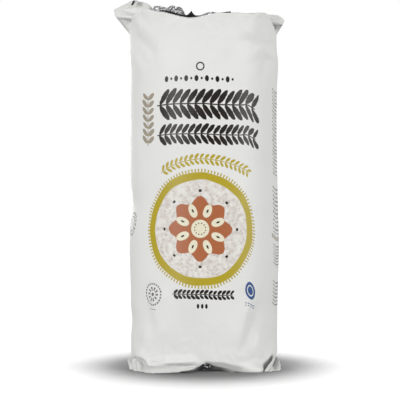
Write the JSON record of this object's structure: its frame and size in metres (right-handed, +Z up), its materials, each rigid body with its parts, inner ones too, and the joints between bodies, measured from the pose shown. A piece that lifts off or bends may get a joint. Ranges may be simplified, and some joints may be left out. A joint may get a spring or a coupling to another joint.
{
  "type": "sealed film pack of puffed rice cakes",
  "caption": "Tall round flow-wrap pack of puffed rice cakes in matt white printed film, with crimped, folded ends; it stands on its folded bottom seam.",
  "frame": {"origin": "middle of the round stack at the flat bottom the pack stands on", "axes": "+Z up along the pack, -Y out of its printed front, +X to the right as seen from the front"},
  "size_m": [0.1101, 0.0961, 0.2371],
  "materials": {
    "film": "matt off-white printed packing film, softly creased, with a slight satin sheen"
  },
  "bodies": {
    "root": {"rice_cake_pack": "film"}
  },
  "joints": []
}
